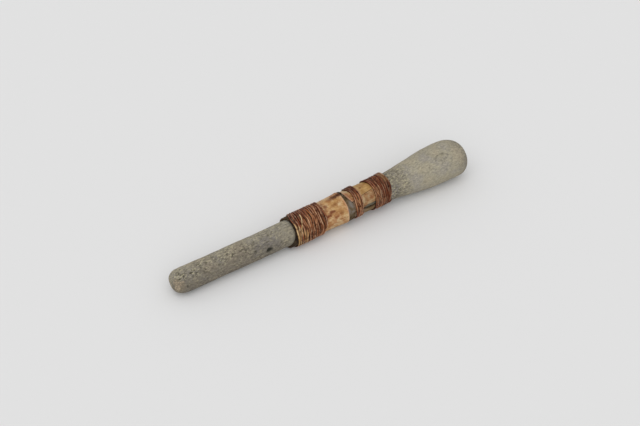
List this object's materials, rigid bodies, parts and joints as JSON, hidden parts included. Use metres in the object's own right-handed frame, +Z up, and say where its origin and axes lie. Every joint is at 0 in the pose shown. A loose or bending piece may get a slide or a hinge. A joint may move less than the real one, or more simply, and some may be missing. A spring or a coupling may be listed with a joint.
{
  "type": "stone pestle",
  "caption": "Long hand pestle of dressed stone, with a straight shank, a swollen broad end and a bamboo grip bound in split rattan.",
  "frame": {"origin": "on the surface that the pestle lies on, under the middle of the object", "axes": "+X along the pestle towards its broad end, +Z up, -Y towards the viewer's side"},
  "size_m": [0.3502, 0.0428, 0.0424],
  "materials": {
    "stone": "matte, pecked and worn smooth",
    "bamboo": "satin, aged",
    "rattan": "satin, split strands",
    "pale_rattan": "satin, split strands"
  },
  "bodies": {
    "root": {"pestle_stone": "stone", "lower_casing": "bamboo", "upper_casing_top_stave": "bamboo", "upper_casing_front_stave": "bamboo", "upper_casing_under_stave": "bamboo", "lower_binding_pale_strand": "pale_rattan", "lower_binding": "rattan", "middle_binding": "rattan", "upper_binding": "rattan"}
  },
  "joints": []
}
